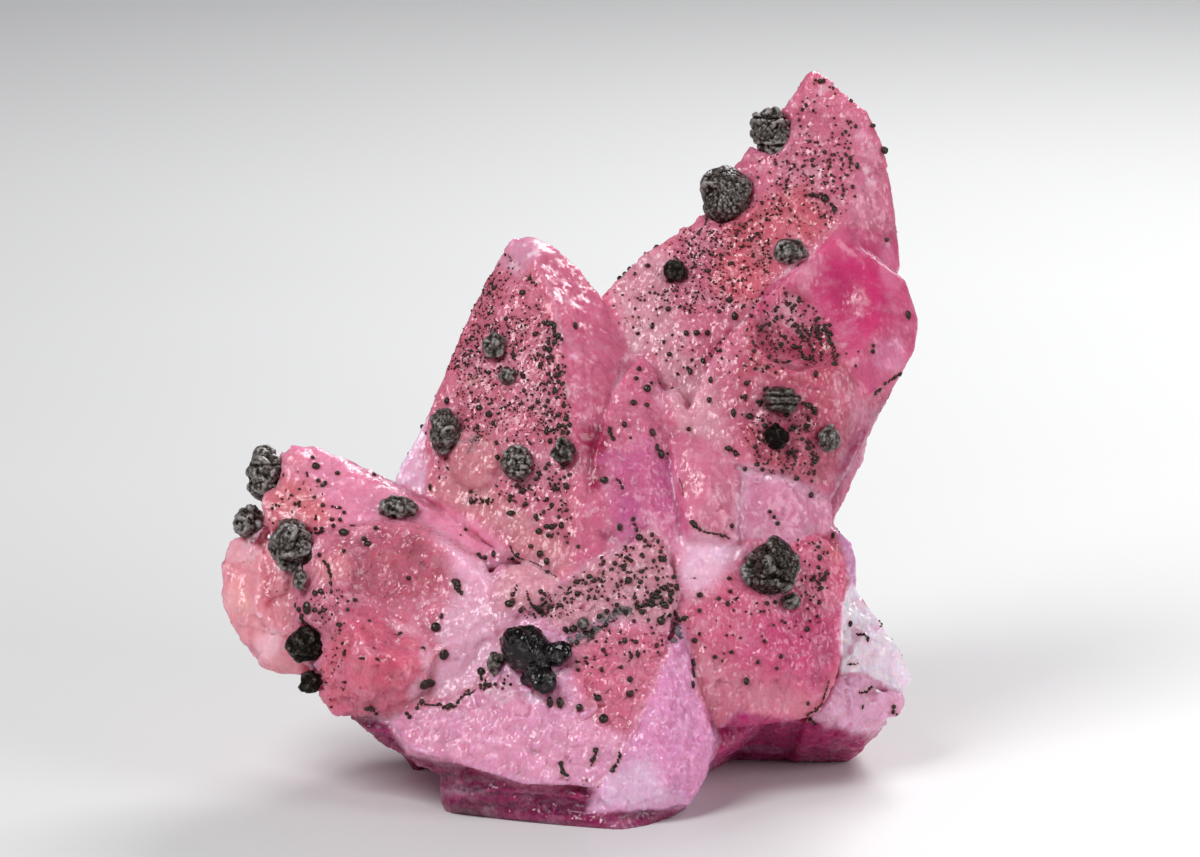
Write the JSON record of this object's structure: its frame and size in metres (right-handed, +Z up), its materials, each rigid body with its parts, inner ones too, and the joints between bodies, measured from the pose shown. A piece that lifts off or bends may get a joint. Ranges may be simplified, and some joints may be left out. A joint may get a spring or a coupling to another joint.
{
  "type": "cobaltoan calcite specimen",
  "caption": "Natural mineral specimen: a cluster of pink pointed calcite crystals with dark nodules, cut flat below to stand on a shelf.",
  "frame": {"origin": "middle of the bounding box at the base plane that the specimen stands on", "axes": "+Z up, -Y towards the viewer of the display face, +X to the viewer's right"},
  "size_m": [0.0596, 0.043, 0.0574],
  "materials": {
    "calcite": "translucent rose pink calcite with glassy, finely frosted crystal faces",
    "dark_oxide": "dull charcoal, finely lumpy oxide",
    "glossy_oxide": "shiny black, smooth rounded oxide"
  },
  "bodies": {
    "root": {"calcite_cluster": "calcite", "nodule_tall_tip": "dark_oxide", "nodule_tall_edge": "dark_oxide", "nodule_tall_left": "dark_oxide", "nodule_tall_crest": "dark_oxide", "nodule_tall_banded": "dark_oxide", "nodule_tall_spiky": "dark_oxide", "nodule_tall_low": "dark_oxide", "nodule_centre_high": "dark_oxide", "nodule_centre_mid": "dark_oxide", "nodule_centre_edge": "dark_oxide", "nodule_centre_rough": "dark_oxide", "nodule_centre_ridge": "dark_oxide", "nodule_left_top": "dark_oxide", "nodule_left_edge": "dark_oxide", "nodule_left_fork": "dark_oxide", "nodule_left_small": "dark_oxide", "nodule_left_seam": "dark_oxide", "nodule_left_low": "dark_oxide", "nodule_left_low_tail": "dark_oxide", "nodule_front_grey": "dark_oxide", "nodule_front_small": "dark_oxide", "nodule_right_big": "dark_oxide", "nodule_right_tail": "dark_oxide", "nodule_front_glossy": "glossy_oxide"}
  },
  "joints": []
}
